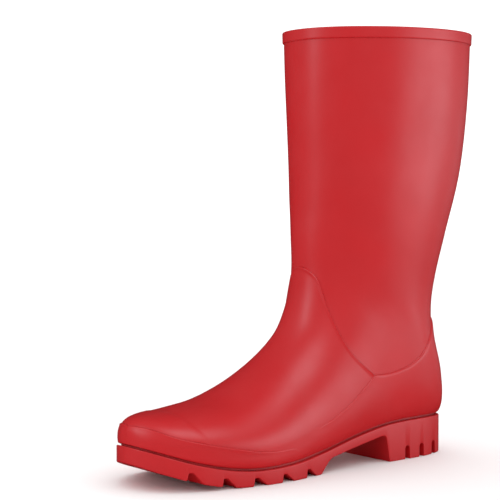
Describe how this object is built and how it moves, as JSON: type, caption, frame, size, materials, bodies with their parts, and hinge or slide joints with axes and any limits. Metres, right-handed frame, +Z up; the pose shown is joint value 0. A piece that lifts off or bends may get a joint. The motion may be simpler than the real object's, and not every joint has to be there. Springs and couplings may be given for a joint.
{
  "type": "rubber rain boot",
  "caption": "Mid-calf rubber rain boot for the right foot, with panels over a knitted lining, a lugged outsole and a slotted heel.",
  "frame": {"origin": "on the floor, under the middle of the boot's bounding box", "axes": "+Z up the leg, the toe points to -Y, +X is the inner side of this right boot"},
  "size_m": [0.114, 0.298, 0.3081],
  "materials": {
    "rubber_upper": "satin",
    "rubber_sole": "satin",
    "bonding_rubber": "matte",
    "knit": "matte",
    "footbed_foam": "matte",
    "board": "matte",
    "stiffener": "matte",
    "heel_core": "matte",
    "steel": "satin"
  },
  "bodies": {
    "root": {"outsole": "rubber_sole", "midsole": "bonding_rubber", "heel_core": "heel_core", "shank": "steel", "insole_board": "board", "leg": "rubber_upper", "vamp": "rubber_upper", "heel_counter": "rubber_upper", "toe_cap": "rubber_upper", "toe_rand": "rubber_upper", "top_band": "rubber_upper", "knit_lining": "knit", "heel_stiffener": "stiffener", "toe_puff": "stiffener", "footbed_foam": "footbed_foam", "footbed_cloth": "knit"}
  },
  "joints": []
}
